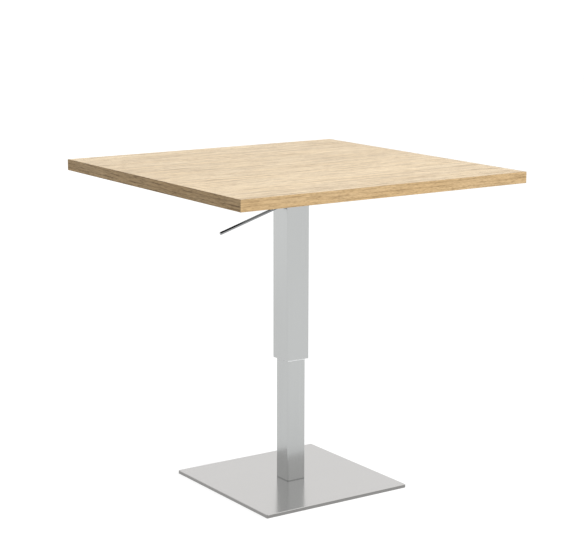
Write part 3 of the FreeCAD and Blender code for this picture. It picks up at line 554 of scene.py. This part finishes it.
def make_floor():
    """Plain pale floor that glows a little, so that shadows stay faint.

    It glows a little more far out at the back left and the front right, which the column's faces mirror.
    """
    mesh = bpy.data.meshes.new("floor")
    corners = [(-FLOOR_REACH, -FLOOR_REACH, 0), (FLOOR_REACH, -FLOOR_REACH, 0),
               (FLOOR_REACH, FLOOR_REACH, 0), (-FLOOR_REACH, FLOOR_REACH, 0)]
    mesh.from_pydata(corners, [], [(0, 1, 2, 3)])
    floor = bpy.data.objects.new("floor", mesh)
    bpy.context.scene.collection.objects.link(floor)
    material = bpy.data.materials.new("pale_floor")
    material.use_nodes = True
    shader = material.node_tree.nodes["Principled BSDF"]
    shader.inputs["Base Color"].default_value = (FLOOR_GREY, FLOOR_GREY, FLOOR_GREY, 1)
    shader.inputs["Roughness"].default_value = 0.9
    shader.inputs["Specular IOR Level"].default_value = 0.0
    shader.inputs["Emission Color"].default_value = (1, 1, 1, 1)
    wiring = Wiring(material.node_tree)
    where = wiring.nodes.new("ShaderNodeTexCoord")
    distance = wiring.towards(where.outputs["Object"], BACK_LEFT)
    glow = FLOOR_GLOW
    for start, end, gain in GLOW_GAINS:
        glow = wiring.math("ADD", wiring.span(distance, start, end, 0.0, gain, smooth=True), glow)
    wiring.put(shader.inputs["Emission Strength"], glow)
    mesh.materials.append(material)
    floor.location.z = -FLOOR_DEPTH


def make_surroundings():
    """Pale surroundings, white at the horizon, whose upper part is dark on the -X side."""
    world = bpy.data.worlds.new("studio")
    bpy.context.scene.world = world
    world.use_nodes = True
    wiring = Wiring(world.node_tree)
    wiring.nodes.clear()
    where = wiring.nodes.new("ShaderNodeTexCoord").outputs["Generated"]
    up = wiring.towards(where, (0, 0, 1))
    right = wiring.towards(where, (1, 0, 0))
    dark_side = wiring.towards(where, Vector(DARK_SIDE).normalized())
    low_part = wiring.span(right, -1.0, 1.0, *LOW_PART_LEVELS, smooth=True)
    high_part = wiring.span(dark_side, *DARK_SIDE_SPAN, *HIGH_PART_LEVELS, smooth=True)
    above = wiring.span(up, LOW_PART_END, HIGH_PART_START, low_part, high_part, smooth=True)
    background = wiring.nodes.new("ShaderNodeBackground")
    background.inputs["Color"].default_value = (1, 1, 1, 1)
    level = wiring.span(up, 0.0, HORIZON_END, HORIZON_LEVEL, above, smooth=True)
    wiring.put(background.inputs["Strength"], level)
    output = wiring.nodes.new("ShaderNodeOutputWorld")
    wiring.put(output.inputs[0], background.outputs[0])


def soft_light(name, place, size, power, mirrored):
    """Round soft light that faces the middle of the table, and shows in reflections or not."""
    light = bpy.data.objects.new(name, bpy.data.lights.new(name, "AREA"))
    light.data.shape = "DISK"
    light.data.size = size
    light.data.energy = power
    light.data.cycles.max_bounces = 0
    light.visible_glossy = mirrored
    light.location = place
    light.rotation_euler = (Vector(LIGHT_AIM) - light.location).to_track_quat("-Z", "Y").to_euler()
    bpy.context.scene.collection.objects.link(light)


def make_lights():
    """A large soft key light far off at the front right, and a weak one overhead.

    The key light is hidden from reflections, where it would be a white streak in the foot plate.
    """
    soft_light("key_light", (4.2, -10.5, 9.35), size=4.2, power=1990, mirrored=False)
    soft_light("top_light", (0.3, 0.3, 6.0), size=5.0, power=100, mirrored=True)


def make_camera():
    """Camera at the photograph's viewing angle."""
    camera = bpy.data.objects.new("camera", bpy.data.cameras.new("camera"))
    camera.data.sensor_width = SENSOR_WIDTH
    camera.data.lens = FOCAL_PIXELS / PICTURE_WIDTH * SENSOR_WIDTH
    camera.data.clip_end = CAMERA_SIGHT
    turn = Matrix.Rotation(math.radians(-CAMERA_YAW), 4, "Z")
    tilt = Matrix.Rotation(math.radians(90 + CAMERA_PITCH), 4, "X")
    roll = Matrix.Rotation(math.radians(CAMERA_ROLL), 4, "Z")
    camera.matrix_world = Matrix.Translation(CAMERA_PLACE) @ turn @ tilt @ roll
    bpy.context.scene.collection.objects.link(camera)
    bpy.context.scene.camera = camera


make_camera()
make_floor()
make_surroundings()
make_lights()
materials = make_materials()
dress_nodes(materials)
make_weld(materials["weld"])
bpy.context.scene.view_settings.view_transform = "Standard"
